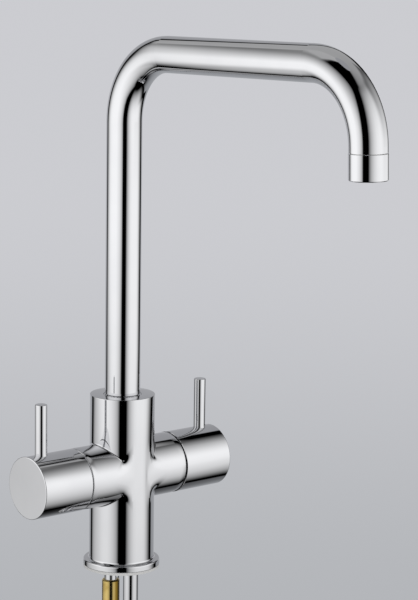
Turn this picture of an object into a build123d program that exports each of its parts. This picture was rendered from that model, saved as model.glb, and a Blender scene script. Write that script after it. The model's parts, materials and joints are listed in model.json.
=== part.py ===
from build123d import *
import math
import os

# Three way filtered water tap: a cross-shaped body with two quarter-turn handles and a square
# swan-neck spout that swivels.  The origin is the centre of the underside of the base seal.
# +Z is up, the handles lie along X (the left one at -X) and the spout points to -Y.

os.makedirs("parts", exist_ok=True)

# ---------------------------------------------------------------------------------------------
# Driving dimensions, mm
# ---------------------------------------------------------------------------------------------

# body
body_radius = 22.0
body_top = 120.0
arm_radius = 21.0
arm_height = 66.5  # height of the handles' axis
arm_end = 40.0  # from the body's axis to the seam
crossing_fillet = 2.0
edge_break = 0.4
port_floor = 14.0  # underside of the solid part of the body
port_depth = 12.0
skirt_radius = 16.5  # hollow under the port floor

# base
base_radius = 26.0
base_top = 6.0
seal_thickness = 1.8
foot_spigot_radius = 19.0

# spout
tube_radius = 12.0
tube_wall = 1.2
bend_radius = 47.0
riser_corner = 350.0  # height where the riser's and the arm's centrelines meet
arm_length = 231.0  # from that corner to the outlet's corner
outlet_drop = 67.5  # from the outlet's corner to the very end
arm_rise = 2.0  # degrees that the arm climbs towards the outlet
sleeve_length = 16.6
sleeve_radius = 12.1

# spout socket in the body
socket_radius = 12.78
socket_floor = 92.0
foot_radius = 12.7
foot_gap = 0.6  # between the body and the end of the spout tube
foot_neck = 11.2  # the foot's radius in that gap

# handles
barrel_end = 79.0
seam_gap = 0.5
lever_place = 68.0
lever_radius = 4.1
lever_top = 121.65

# valves, measured outwards from the body's axis
seat = 14.0
valve_bore = 10.4
spigot_end = 46.0
spigot_radius = 17.6
spindle_radius = 4.0
running = 0.06  # radial clearance of everything that turns

# tails and fixing
tail_radius = 5.2
tail_end_radius = 5.0  # the plain end that a 10 mm fitting takes
tail_end_length = 20.0
tail_length = 100.0
filter_stem_radius = 3.175
post_radius = 6.0
post_length = 70.0
side_port = 9.0  # post and filtered inlet, on the X axis
mains_port = 10.4  # hot and cold inlets, on the Y axis

port_bore = 4.75
port_thread = 4.7
neck_bore = 4.0
neck_radius = 3.95

UP = (0, 0, 1)


def turned(outline, plane):
    """A closed outline of (along, radius) points as a face, for revolving about its plane's x."""
    with BuildSketch(plane) as profile:
        with BuildLine():
            Polyline(*outline, close=True)
        make_face()
    return profile.sketch


def standing(outline):
    """The same for a piece turned about the body's axis: (height, radius) points."""
    return turned(outline, Plane(origin=(0, 0, 0), x_dir=(0, 0, 1), z_dir=(0, 1, 0)))


def square_ring(bottom, top, inner, outer):
    """The outline of a plain ring."""
    return [(bottom, inner), (bottom, outer), (top, outer), (top, inner)]


def drilling(start, end, radius):
    """A straight drilling between two points, to be cut from the part in hand."""
    way = Vector(*end) - Vector(*start)
    with BuildSketch(Plane(origin=start, z_dir=way)) as mouth:
        Circle(radius)
    extrude(mouth.sketch, amount=way.length, mode=Mode.SUBTRACT)


def sector(inner, outer, middle, width):
    """A slot in the sketch in hand: part of a ring, centred on an angle."""
    first = middle - width / 2
    with BuildSketch(mode=Mode.PRIVATE) as slot:
        with BuildLine():
            far = CenterArc((0, 0), outer, first, width)
            near = CenterArc((0, 0), inner, first, width)
            Line(near @ 0, far @ 0)
            Line(near @ 1, far @ 1)
        make_face()
    return slot.sketch


def save(builder, name):
    """Label the finished piece and write it under its own name."""
    builder.part.label = name
    export_step(builder.part, f"parts/{name}.step")


# ---------------------------------------------------------------------------------------------
# Cross body: cast and turned in one, with the waterways drilled inside
# ---------------------------------------------------------------------------------------------

hot_port = (0, mains_port)
cold_port = (0, -mains_port)
filter_port = (side_port, 0)
post_port = (-side_port, 0)
port_top = port_floor + port_depth

chamber_floor = 80.0
chamber_radius = 7.5
mains_way = 3.0  # radii of the drillings, from the widest to the narrowest
hot_cross_way = 2.6
narrow_way = 2.0
port_way = 1.6
hot_exit = arm_height + 8.5  # beside the valve's cage, where the left valve lets the water out
hot_rise = -5.2

# the right valve has four small ports, two in front of its axis and two behind
port_circle = 4.6
port_angle = 30.0
port_y = port_circle * math.cos(math.radians(port_angle))
lower_port = arm_height - port_circle * math.sin(math.radians(port_angle))
upper_port = arm_height + port_circle * math.sin(math.radians(port_angle))
port_x = seat + 0.5

screw_height = 110.5  # the screw at the back that keeps the spout in
screw_bore = 2.5

with BuildPart() as tap_body:
    with BuildSketch(Plane.XY.offset(base_top)):
        Circle(body_radius)
    extrude(amount=body_top - base_top)
    with BuildSketch(Plane.YZ.offset(-arm_end)):
        with Locations((0, arm_height)):
            Circle(arm_radius)
    extrude(amount=2 * arm_end)
    crossing = tap_body.edges().filter_by(lambda e: e.geom_type not in (GeomType.CIRCLE, GeomType.LINE))
    fillet(crossing, radius=crossing_fillet)
    rims = tap_body.edges().filter_by(GeomType.CIRCLE)
    chamfer(rims.group_by(Axis.Z)[-1], length=edge_break)
    chamfer(rims.group_by(Axis.X)[0] + rims.group_by(Axis.X)[-1], length=edge_break)
    # spigots that carry the handles' glide rings
    with BuildSketch(Plane.YZ.offset(-spigot_end)):
        with Locations((0, arm_height)):
            Circle(spigot_radius)
    extrude(amount=2 * spigot_end)
    # foot spigot inside the base ring
    with BuildSketch(Plane.XY.offset(seal_thickness)):
        Circle(foot_spigot_radius)
    extrude(amount=base_top - seal_thickness)
    # hollow skirt over the tap hole, with the four ports in its floor
    drilling((0, 0, seal_thickness), (0, 0, port_floor), skirt_radius)
    for x, y in (hot_port, cold_port, filter_port):
        drilling((x, y, port_floor), (x, y, port_top), port_bore)
    drilling((*post_port, port_floor), (*post_port, port_top), neck_bore)
    # socket for the spout, then the mixing chamber
    drilling((0, 0, socket_floor), (0, 0, body_top), socket_radius)
    drilling((0, 0, chamber_floor), (0, 0, socket_floor), chamber_radius)
    drilling((0, 12, screw_height), (0, body_radius, screw_height), screw_bore)
    # valve chambers
    for sign in (-1, 1):
        drilling((sign * seat, 0, arm_height), (sign * spigot_end, 0, arm_height), valve_bore)
    # hot: up from its port, across to the left seat, and out to the mixing chamber
    drilling((0, mains_port, port_top), (0, mains_port, arm_height + 3), mains_way)
    drilling((0, mains_port, arm_height), (-port_x, 2, arm_height), hot_cross_way)
    drilling((-20, 0, hot_exit), (hot_rise + 1, 0, hot_exit), port_way)
    drilling((hot_rise, 0, hot_exit - 0.5), (hot_rise, 0, chamber_floor + 1), narrow_way)
    # cold: up, across to the right seat's lower front port, and back from the upper one
    drilling((0, -mains_port, port_top), (0, -mains_port, arm_height), mains_way)
    drilling((0, -mains_port, lower_port), (port_x, -port_y, lower_port), port_way)
    drilling((port_x, -port_y, upper_port), (3, -3, chamber_floor + 1.5), port_way)
    # filtered: up, across to the lower rear port, and from the upper one to the nipple
    drilling((side_port, 0, port_top), (side_port, 0, lower_port + 1), narrow_way)
    drilling((side_port, 0, lower_port), (port_x, port_y, lower_port), port_way)
    drilling((port_x, port_y, upper_port), (0, 0, chamber_floor - 4), port_way)
    drilling((0, 0, chamber_floor - 5), (0, 0, chamber_floor), port_way)
save(tap_body, "tap_body")

ring_bottom = seal_thickness + 0.1

with BuildPart() as base_ring:
    revolve(standing(square_ring(ring_bottom, base_top, foot_spigot_radius + 0.05, base_radius)), Axis.Z)
    outer = base_ring.edges().filter_by(GeomType.CIRCLE).filter_by(lambda e: e.radius > base_radius - 0.1)
    fillet(outer.sort_by(Axis.Z)[-1], radius=1.0)
    chamfer(outer.sort_by(Axis.Z)[0], length=0.25)
save(base_ring, "base_ring")

with BuildPart() as base_seal:
    revolve(standing(square_ring(0, seal_thickness, skirt_radius + 0.3, base_radius - 0.15)), Axis.Z)
save(base_seal, "base_seal")

# ---------------------------------------------------------------------------------------------
# Inlet tails and the fixing under the worktop
# ---------------------------------------------------------------------------------------------

o_ring_depth = 2.0
o_ring_groove = 4.1
o_ring_radius = 5.7
thread_top = port_top - 1.0
thread_bevel = 0.6
mouth_radius = 3.15  # top of every tail's waterway
mains_bore = 3.5


def tail(name, place, shank, steps):
    """One inlet: thread, seal groove and shank, with its lower end given as (height, radius) steps."""
    with BuildPart() as piece:
        outline = [
            (thread_top, mouth_radius),
            (thread_top, port_thread - thread_bevel),
            (thread_top - thread_bevel, port_thread),
            (port_floor, port_thread),
            (port_floor, o_ring_groove),
            (port_floor - o_ring_depth, o_ring_groove),
            (port_floor - o_ring_depth, shank),
            *steps,
        ]
        face = standing(outline)
        revolve(face.moved(Location((*place, 0))), Axis((*place, 0), UP))
    save(piece, name)


mains_end = [
    (tail_end_length - tail_length, tail_radius),
    (tail_end_length - tail_length, tail_end_radius),
    (-tail_length + 0.5, tail_end_radius),
    (-tail_length, tail_end_radius - 0.5),
    (-tail_length, mains_bore),
    (port_floor, mains_bore),
    (port_floor + 1, mouth_radius),
]
filter_shank = 4.5
filter_bore = 2.0
stem_top = -tail_length + 18
filter_end = [
    (stem_top + 1, filter_shank),
    (stem_top, filter_shank - 1),
    (stem_top, filter_stem_radius),
    (-tail_length + 0.4, filter_stem_radius),
    (-tail_length, filter_stem_radius - 0.4),
    (-tail_length, filter_bore),
    (port_floor, filter_bore),
    (port_floor + 1, mouth_radius),
]
tail("hot_tail", hot_port, tail_radius, mains_end)
tail("cold_tail", cold_port, tail_radius, mains_end)
tail("filter_tail", filter_port, filter_shank, filter_end)

with BuildPart() as tail_o_rings:
    for place in (hot_port, cold_port, filter_port):
        ring = standing(square_ring(port_floor - o_ring_depth, port_floor, o_ring_groove, o_ring_radius))
        revolve(ring.moved(Location((*place, 0))), Axis((*place, 0), UP))
save(tail_o_rings, "tail_o_rings")

# The brass post hangs on a thinner neck.  Below its plain part it is threaded for the nut; the
# thread is drawn as closed V-grooves.
post_top = -8.0
thread_start = -24.0
thread_radius = 4.95
thread_pitch = 1.5
thread_depth = 0.6
crest_land = 0.15
shoulder_bevel = 0.8
groove_count = int((post_length + thread_start - 3) / thread_pitch)

with BuildPart() as fixing_post:
    outline = [
        (thread_top, 0),
        (thread_top, neck_radius - thread_bevel),
        (thread_top - thread_bevel, neck_radius),
        (post_top, neck_radius),
        (post_top, post_radius - shoulder_bevel),
        (post_top - shoulder_bevel, post_radius),
        (thread_start + shoulder_bevel, post_radius),
        (thread_start, post_radius - shoulder_bevel),
    ]
    for turn in range(groove_count):
        crest = thread_start - turn * thread_pitch
        outline.append((crest - crest_land, thread_radius))
        outline.append((crest - thread_pitch / 2, thread_radius - thread_depth))
        outline.append((crest - thread_pitch + crest_land, thread_radius))
    outline += [(-post_length + 1, thread_radius), (-post_length, thread_radius - 1), (-post_length, 0)]
    revolve(standing(outline).moved(Location((*post_port, 0))), Axis((*post_port, 0), UP))
    # screwdriver slot in the lower end
    with BuildSketch(Plane.XY.offset(-post_length)):
        with Locations(post_port):
            Rectangle(2 * post_radius, 1.6)
    extrude(amount=2.0, mode=Mode.SUBTRACT)
save(fixing_post, "fixing_post")

plate_top = -44.0
plate_thickness = 2.5
plate_radius = 27.0
plate_centre = (-4.0, 0)
rubber_thickness = 3.0
slot_width = 31.8
slot_length = 80.0
nut_height = 8.0
nut_across_flats = 16.0


def horseshoe(radius, tail_notch, post_hole):
    """A round plate open to one side for the tails, with a hole for the post."""
    with BuildSketch() as plate:
        with Locations(plate_centre):
            Circle(radius)
        with Locations((slot_length / 2, 0)):
            Rectangle(slot_length, slot_width, mode=Mode.SUBTRACT)
        with Locations(hot_port, cold_port):
            Circle(tail_notch, mode=Mode.SUBTRACT)
        with Locations(post_port):
            Circle(post_hole, mode=Mode.SUBTRACT)
    return plate.sketch


with BuildPart() as horseshoe_plate:
    plate_shape = horseshoe(plate_radius, 5.9, 5.3).moved(Location((0, 0, plate_top - plate_thickness)))
    extrude(plate_shape, amount=plate_thickness, dir=UP)
save(horseshoe_plate, "horseshoe_plate")

with BuildPart() as horseshoe_seal:
    seal_shape = horseshoe(plate_radius - 0.5, 5.7, 5.2).moved(Location((0, 0, plate_top)))
    extrude(seal_shape, amount=rubber_thickness, dir=UP)
save(horseshoe_seal, "horseshoe_seal")

with BuildPart() as fixing_nut:
    nut_bottom = plate_top - plate_thickness - nut_height
    with BuildSketch(Plane.XY.offset(nut_bottom)):
        with Locations(post_port):
            RegularPolygon(nut_across_flats / 2, 6, major_radius=False, rotation=30)
    extrude(amount=nut_height)
    chamfer(fixing_nut.edges().group_by(Axis.Z)[0], length=0.7)
    drilling((*post_port, nut_bottom), (*post_port, nut_bottom + nut_height), thread_radius + 0.08)
save(fixing_nut, "fixing_nut")

# ---------------------------------------------------------------------------------------------
# Valves and handles, one set on each side
# ---------------------------------------------------------------------------------------------

disc_radius = 7.55
moving_disc_radius = 7.2
bow_tie = (2.0, 6.0)  # inner and outer radius of the left valve's openings
bow_tie_angle = 80.0
pocket = (2.9, 6.3)
pocket_angle = 76.0  # clear of all four ports at rest, over one pair at either end of the travel
pocket_depth = 1.4
fixed_disc_in = 17.5
fixed_disc_out = 20.5
moving_disc_in = fixed_disc_out + 0.05
moving_disc_out = 23.5
drive_end = 26.5
housing_in = 15.0
cage_radius = 9.0
cage_bore = disc_radius + 0.05
cage_end = 30.0
seal_groove = (34.0, 37.0)
seal_groove_radius = 5.6
hex_end = 50.0
hex_across_flats = 24.0
nose_radius = 7.0
sleeve_end = 55.0
spindle_bore = spindle_radius + running
clip_groove_radius = 3.3
spindle_end = 71.0
hub_in = 59.0
hub_bore_end = 72.0
glide_ring_wall = 0.8
glide_bore = spigot_radius + glide_ring_wall + running
barrel_edge = 0.7  # rounding of the closed end
grub_place = 64.0
grub_bore = 2.5
grub_radius = 2.45
grub_length = 10.0
flat_depth = 1.0
flat_place = spindle_radius - flat_depth
lever_shoulder = 17.0  # from the handle's axis to where the lever's thread starts
lever_thread_end = 9.5
lever_thread = 2.5
lever_edge = 0.6  # rounding of the lever's top
key_radius = 1.25  # half the width of the screws' hexagon sockets
key_depth = 3.0

# on a disc seen along the arm, x points up
valve_ports = []
for angle in (90 - port_angle, 90 + port_angle, 270 - port_angle, 270 + port_angle):
    turn = math.radians(angle)
    valve_ports.append((port_circle * math.cos(turn), port_circle * math.sin(turn)))

for side, sign in (("left", -1), ("right", 1)):
    # x outwards along the arm and y up
    along = Plane(origin=(0, 0, arm_height), x_dir=(sign, 0, 0), z_dir=(0, -sign, 0))
    arm_axis = Axis((0, 0, arm_height), (sign, 0, 0))
    # z outwards along the arm and x up
    across = Plane(origin=(0, 0, arm_height), x_dir=(0, 0, 1), z_dir=(sign, 0, 0))

    with BuildPart() as housing:
        outline = [
            (housing_in, cage_bore),
            (drive_end + 0.3, cage_bore),
            (drive_end + 0.3, spindle_bore),
            (seal_groove[0], spindle_bore),
            (seal_groove[0], seal_groove_radius),
            (seal_groove[1], seal_groove_radius),
            (seal_groove[1], spindle_bore),
            (sleeve_end, spindle_bore),
            (sleeve_end, nose_radius),
            (spigot_end, nose_radius),
            (spigot_end, valve_bore - 0.05),
            (cage_end, valve_bore - 0.05),
            (cage_end, cage_radius),
            (housing_in, cage_radius),
        ]
        revolve(turned(outline, along), arm_axis)
        with BuildSketch(across.offset(spigot_end)):
            RegularPolygon(hex_across_flats / 2, 6, major_radius=False)
            Circle(nose_radius - 0.1, mode=Mode.SUBTRACT)
        extrude(amount=hex_end - spigot_end)
        if side == "left":
            # windows that let the hot water out into the arm
            with BuildSketch(across.offset(moving_disc_in + 0.5)):
                Rectangle(30, 7)
            extrude(amount=drive_end - moving_disc_in - 0.5, mode=Mode.SUBTRACT)
    save(housing, f"{side}_valve_housing")

    with BuildPart() as spindle_seal:
        low, high = seal_groove
        ring = square_ring(low + 0.2, high - 0.2, spindle_bore, seal_groove_radius - 0.05)
        revolve(turned(ring, along), arm_axis)
    save(spindle_seal, f"{side}_spindle_seal")

    with BuildPart() as seat_seal:
        with BuildSketch(across.offset(seat)):
            Circle(disc_radius - 0.1)
            if side == "left":
                Circle(5.5, mode=Mode.SUBTRACT)
            else:
                with Locations(valve_ports):
                    Circle(port_way + 0.1, mode=Mode.SUBTRACT)
        extrude(amount=fixed_disc_in - seat)
    save(seat_seal, f"{side}_seat_seal")

    with BuildPart() as fixed_disc:
        with BuildSketch(across.offset(fixed_disc_in)):
            Circle(disc_radius)
            if side == "left":
                for middle in (90, 270):
                    add(sector(*bow_tie, middle, bow_tie_angle), mode=Mode.SUBTRACT)
            else:
                with Locations(valve_ports):
                    Circle(port_way, mode=Mode.SUBTRACT)
        extrude(amount=fixed_disc_out - fixed_disc_in)
    save(fixed_disc, f"{side}_fixed_disc")

    with BuildPart() as moving_disc:
        with BuildSketch(across.offset(moving_disc_in)):
            Circle(moving_disc_radius)
        extrude(amount=moving_disc_out - moving_disc_in)
        if side == "left":
            for middle in (0, 180):
                with BuildSketch(across.offset(moving_disc_in)):
                    add(sector(*bow_tie, middle, bow_tie_angle))
                extrude(amount=moving_disc_out - moving_disc_in, mode=Mode.SUBTRACT)
        else:
            # blind pocket that joins one pair of ports at either end of the travel
            with BuildSketch(across.offset(moving_disc_in)):
                add(sector(*pocket, 0, pocket_angle))
            extrude(amount=pocket_depth, mode=Mode.SUBTRACT)
    save(moving_disc, f"{side}_moving_disc")

    with BuildPart() as spindle:
        outline = [
            (moving_disc_out, 0),
            (moving_disc_out, moving_disc_radius),
            (drive_end, moving_disc_radius),
            (drive_end, spindle_radius),
            (sleeve_end + 0.3, spindle_radius),
            (sleeve_end + 0.3, clip_groove_radius),
            (sleeve_end + 1.3, clip_groove_radius),
            (sleeve_end + 1.3, spindle_radius),
            (spindle_end - 0.5, spindle_radius),
            (spindle_end, spindle_radius - 0.5),
            (spindle_end, 0),
        ]
        revolve(turned(outline, along), arm_axis)
        if side == "left":
            # the dog has two arms, so that the water passes beside it
            with BuildSketch(across.offset(moving_disc_out)):
                for place in (6.2, -6.2):
                    with Locations((place, 0)):
                        Rectangle(4.0, 16)
            extrude(amount=drive_end - moving_disc_out, mode=Mode.SUBTRACT)
        # flat at the back for the grub screw
        flat_middle = (sign * (hub_in + spindle_end) / 2, flat_place, arm_height)
        with BuildSketch(Plane(origin=flat_middle, x_dir=(1, 0, 0), z_dir=(0, 1, 0))):
            Rectangle(spindle_end - hub_in + 0.2, 2 * spindle_radius + 1)
        extrude(amount=flat_depth + 1, mode=Mode.SUBTRACT)
    save(spindle, f"{side}_spindle")

    with BuildPart() as circlip:
        with BuildSketch(across.offset(sleeve_end + 0.4)):
            Circle(5.8)
            Circle(clip_groove_radius + 0.05, mode=Mode.SUBTRACT)
            with Locations((-5, 0)):
                Rectangle(8, 5, mode=Mode.SUBTRACT)
        extrude(amount=0.8)
    save(circlip, f"{side}_circlip")

    with BuildPart() as glide_ring:
        ring = square_ring(arm_end, spigot_end - 0.5, spigot_radius, spigot_radius + glide_ring_wall)
        revolve(turned(ring, along), arm_axis)
    save(glide_ring, f"{side}_glide_ring")

    with BuildPart() as barrel:
        seam = arm_end + seam_gap
        outline = [
            (seam, glide_bore),
            (hub_in, glide_bore),
            (hub_in, spindle_radius + 0.03),
            (hub_bore_end, spindle_radius + 0.03),
            (hub_bore_end, 0),
            (barrel_end, 0),
            (barrel_end, arm_radius),
            (seam + 0.3, arm_radius),
            (seam, arm_radius - 0.3),
        ]
        revolve(turned(outline, along), arm_axis)
        outer_rims = barrel.edges().filter_by(GeomType.CIRCLE).filter_by(lambda e: e.radius > glide_bore)
        fillet(outer_rims.sort_by(arm_axis)[-1], radius=barrel_edge)
        lever_x = sign * lever_place
        clear_above = (lever_x, 0, arm_height + arm_radius + 4)
        drilling((lever_x, 0, arm_height + lever_shoulder), clear_above, lever_radius + 0.02)
        drilling((lever_x, 0, arm_height + lever_thread_end - 0.5), clear_above, lever_thread + 0.05)
        grub_x = sign * grub_place
        drilling((grub_x, 0, arm_height), (grub_x, arm_radius + 1, arm_height), grub_bore)
    save(barrel, f"{side}_barrel")

    with BuildPart() as lever:
        outline = [
            (arm_height + lever_thread_end, 0),
            (arm_height + lever_thread_end, lever_thread),
            (arm_height + lever_shoulder, lever_thread),
            (arm_height + lever_shoulder, lever_radius),
            (lever_top, lever_radius),
            (lever_top, 0),
        ]
        revolve(standing(outline).moved(Location((lever_x, 0, 0))), Axis((lever_x, 0, 0), UP))
        fillet(lever.edges().filter_by(GeomType.CIRCLE).sort_by(Axis.Z)[-1], radius=lever_edge)
    save(lever, f"{side}_lever")

    with BuildPart() as grub_screw:
        rear = Plane(origin=(grub_x, 0, arm_height), z_dir=(0, 1, 0))
        with BuildSketch(rear.offset(flat_place)):
            Circle(grub_radius)
        extrude(amount=grub_length)
        with BuildSketch(rear.offset(flat_place + grub_length - key_depth)):
            RegularPolygon(key_radius, 6, major_radius=False)
        extrude(amount=key_depth, mode=Mode.SUBTRACT)
    save(grub_screw, f"{side}_grub_screw")

# ---------------------------------------------------------------------------------------------
# Swivelling spout
# ---------------------------------------------------------------------------------------------

foot_bottom = socket_floor + 2.0
spout_start = body_top + foot_gap
foot_shoulder = body_top - 0.4
spigot_up = 10.0
tube_bore = tube_radius - tube_wall
foot_bore = 8.5
slide_heights = (95.5, 114.5)
slide_width = 2.5
slide_root = 11.7
o_ring_heights = (100.0, 104.0)
o_ring_width = 2.2
o_ring_root = 10.9
keeper_width = 4.0
keeper_root = 11.0

# (height, width, radius at the root) of the grooves round the foot, from the bottom up
grooves = [
    (slide_heights[0], slide_width, slide_root),
    (o_ring_heights[0], o_ring_width, o_ring_root),
    (o_ring_heights[1], o_ring_width, o_ring_root),
    (screw_height - keeper_width / 2, keeper_width, keeper_root),
    (slide_heights[1], slide_width, slide_root),
]

with BuildPart() as spout_foot:
    outline = [(foot_bottom, foot_bore), (foot_bottom, foot_radius - 0.5), (foot_bottom + 0.5, foot_radius)]
    for low, width, root in grooves:
        outline += [(low, foot_radius), (low, root), (low + width, root), (low + width, foot_radius)]
    outline += [
        (foot_shoulder - 0.25, foot_radius),
        (foot_shoulder, foot_radius - 0.25),
        (foot_shoulder, foot_neck),
        (spout_start, foot_neck),
        (spout_start, tube_bore - 0.05),
        (spout_start + spigot_up, tube_bore - 0.05),
        (spout_start + spigot_up, foot_bore),
    ]
    revolve(standing(outline), Axis.Z)
save(spout_foot, "spout_foot")

with BuildPart() as swivel_rings:
    for low in slide_heights:
        high = low + slide_width - 0.1
        revolve(standing(square_ring(low + 0.1, high, slide_root, socket_radius - 0.05)), Axis.Z)
save(swivel_rings, "swivel_rings")

with BuildPart() as spout_o_rings:
    for low in o_ring_heights:
        high = low + o_ring_width - 0.1
        revolve(standing(square_ring(low + 0.1, high, o_ring_root, socket_radius - 0.04)), Axis.Z)
save(spout_o_rings, "spout_o_rings")

with BuildPart() as thrust_washer:
    revolve(standing(square_ring(socket_floor, foot_bottom - 0.1, 8.6, socket_radius - 0.1)), Axis.Z)
save(thrust_washer, "thrust_washer")

screw_tip = keeper_root + 0.4
screw_shoulder = 13.3
screw_head = 20.3

with BuildPart() as retaining_screw:
    rear = Plane(origin=(0, 0, screw_height), z_dir=(0, 1, 0))
    with BuildSketch(rear.offset(screw_tip)):
        Circle(keeper_width / 2 - 0.4)
    extrude(amount=screw_shoulder - screw_tip + 0.1)
    with BuildSketch(rear.offset(screw_shoulder)):
        Circle(screw_bore - 0.05)
    extrude(amount=screw_head - screw_shoulder)
    with BuildSketch(rear.offset(screw_head - key_depth)):
        RegularPolygon(key_radius, 6, major_radius=False)
    extrude(amount=key_depth, mode=Mode.SUBTRACT)
save(retaining_screw, "retaining_screw")

# The centreline: straight up, along the arm, and down at a right angle to the arm.
rise = math.radians(arm_rise)
arm_way = Vector(0, -math.cos(rise), math.sin(rise))
drop_way = Vector(0, -math.sin(rise), -math.cos(rise))
first_corner = Vector(0, 0, riser_corner)
second_corner = first_corner + arm_way * arm_length
spout_end = second_corner + drop_way * outlet_drop
tube_end = spout_end - drop_way * sleeve_length


def bent_tube(start_height, end, outer, inner):
    """A tube along the spout's centreline, added to the part in hand."""
    start = Vector(0, 0, start_height)
    with BuildLine() as way:
        FilletPolyline(start, first_corner, second_corner, end, radius=bend_radius)
    with BuildSketch(Plane(origin=start, z_dir=UP)) as section:
        Circle(outer)
        Circle(inner, mode=Mode.SUBTRACT)
    sweep(section.sketch, path=way.wires()[0])


with BuildPart() as spout_tube:
    bent_tube(spout_start, tube_end, tube_radius, tube_bore)
save(spout_tube, "spout_tube")

# Filtered water has its own way up the spout: a nipple fixed in the body, a coupling that turns
# on it, a thin tube and a jet in the middle of the aerator.
nipple_top = 102.0
nipple_radius = 3.0
nipple_flange = 4.5
nipple_groove = (97.0, 99.0)  # in the coupling, for the ring that seals it on the nipple
nipple_groove_radius = 4.0
coupling_bottom = 94.5
coupling_top = 110.0
coupling_radius = 4.8
tube_seat = 104.0
filter_tube_radius = 3.0
filter_tube_bore = 2.0

with BuildPart() as filter_nipple:
    outline = [
        (chamber_floor, port_way),
        (chamber_floor, nipple_flange),
        (chamber_floor + 2, nipple_flange),
        (chamber_floor + 2, nipple_radius),
        (nipple_top - 0.4, nipple_radius),
        (nipple_top, nipple_radius - 0.4),
        (nipple_top, port_way),
    ]
    revolve(standing(outline), Axis.Z)
save(filter_nipple, "filter_nipple")

with BuildPart() as filter_coupling:
    outline = [
        (coupling_bottom, nipple_radius + running),
        (nipple_groove[0], nipple_radius + running),
        (nipple_groove[0], nipple_groove_radius),
        (nipple_groove[1], nipple_groove_radius),
        (nipple_groove[1], nipple_radius + running),
        (nipple_top + 1, nipple_radius + running),
        (nipple_top + 1, filter_tube_bore),
        (tube_seat, filter_tube_bore),
        (tube_seat, filter_tube_radius + 0.02),
        (coupling_top, filter_tube_radius + 0.02),
        (coupling_top, coupling_radius),
        (coupling_bottom, coupling_radius),
    ]
    revolve(standing(outline), Axis.Z)
    # three fins centre it in the spout's foot
    fin_root = coupling_radius - 0.2
    fin_tip = foot_bore - 0.08
    with BuildSketch(Plane.XY.offset(coupling_bottom + 1)):
        with PolarLocations((fin_root + fin_tip) / 2, 3, 90):
            Rectangle(fin_tip - fin_root, 1.4)
    extrude(amount=10.0)
save(filter_coupling, "filter_coupling")

with BuildPart() as filter_o_ring:
    low, high = nipple_groove
    ring = square_ring(low + 0.1, high - 0.1, nipple_radius + running, nipple_groove_radius - 0.05)
    revolve(standing(ring), Axis.Z)
save(filter_o_ring, "filter_o_ring")

# Outlet pieces are turned about the outlet's own axis, x running with the water from the end of
# the bent tube.
flow = Plane(origin=tube_end, x_dir=drop_way, z_dir=(1, 0, 0))
flow_axis = Axis(tube_end, drop_way)
outlet = Plane(origin=tube_end, x_dir=(1, 0, 0), z_dir=drop_way)
thread_length = 9.5
outlet_bore = 8.8
outlet_thread = 10.9
sleeve_bore = 11.0
lip_bore = 9.9
insert_in = thread_length + 1.5
insert_lip = sleeve_length - 1.2
insert_radius = 10.85
jet_bore = 1.2
jet_radius = 2.6
jet_flange = 3.8
jet_in = 5.0
jet_spigot_end = jet_in + 3.2

with BuildPart() as filter_tube:
    bent_tube(tube_seat, tube_end + drop_way * (jet_in + 3), filter_tube_radius, filter_tube_bore)
save(filter_tube, "filter_tube")

with BuildPart() as outlet_nipple:
    outline = [
        (-3.5, outlet_bore),
        (-3.5, tube_bore - 0.05),
        (0, tube_bore - 0.05),
        (0, outlet_thread),
        (thread_length, outlet_thread),
        (thread_length, outlet_bore),
    ]
    revolve(turned(outline, flow), flow_axis)
save(outlet_nipple, "outlet_nipple")

with BuildPart() as aerator_sleeve:
    outline = [
        (0.35, sleeve_bore),
        (0.35, sleeve_radius - 0.25),
        (0.6, sleeve_radius),
        (sleeve_length - 0.5, sleeve_radius),
        (sleeve_length, sleeve_radius - 0.5),
        (sleeve_length, lip_bore),
        (insert_lip, lip_bore),
        (insert_lip, sleeve_bore),
    ]
    revolve(turned(outline, flow), flow_axis)
save(aerator_sleeve, "aerator_sleeve")

with BuildPart() as aerator_seal:
    washer = square_ring(thread_length, insert_in, outlet_bore - 0.6, sleeve_bore - 0.2)
    revolve(turned(washer, flow), flow_axis)
save(aerator_seal, "aerator_seal")

with BuildPart() as aerator_insert:
    outline = [
        (insert_in, jet_radius + 0.05),
        (insert_in, insert_radius),
        (insert_lip, insert_radius),
        (insert_lip, lip_bore - 0.1),
        (sleeve_length - 0.5, lip_bore - 0.1),
        (sleeve_length - 0.5, jet_radius + 0.05),
    ]
    revolve(turned(outline, flow), flow_axis)
    # two rings of small jets round the filtered one
    with BuildSketch(outlet.offset(insert_in)):
        with PolarLocations(5.0, 10):
            Circle(0.9)
        with PolarLocations(7.9, 18):
            Circle(0.9)
    extrude(amount=sleeve_length, mode=Mode.SUBTRACT)
save(aerator_insert, "aerator_insert")

with BuildPart() as filter_jet:
    outline = [
        (jet_in, jet_bore),
        (jet_in, filter_tube_bore - 0.05),
        (jet_spigot_end, filter_tube_bore - 0.05),
        (jet_spigot_end, jet_flange),
        (insert_in, jet_flange),
        (insert_in, jet_radius),
        (sleeve_length - 0.2, jet_radius),
        (sleeve_length - 0.2, jet_bore),
    ]
    revolve(turned(outline, flow), flow_axis)
save(filter_jet, "filter_jet")
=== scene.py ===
# %% [markdown]
# # A three way filtered water tap, dressed and lit
#
# The solid pieces of the tap come ready made, at their real size, and this lesson gives them
# their looks: mirror chrome, brass, rubber, plastic and steel, in the light of a small product
# studio.  Chrome has almost no colour of its own.  What the eye reads as chrome is the room that
# it mirrors, so the studio round the tap matters as much as the metal.
#
# We begin by loading the pieces.  Each one is already in place, with its origin at the middle of
# the underside of the tap's foot, +Z up, and the spout pointing to -Y.  Lengths are in metres.

# %% Load the pieces
import json
import math

import bpy
import numpy as np
from mathutils import Matrix, Vector


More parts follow.
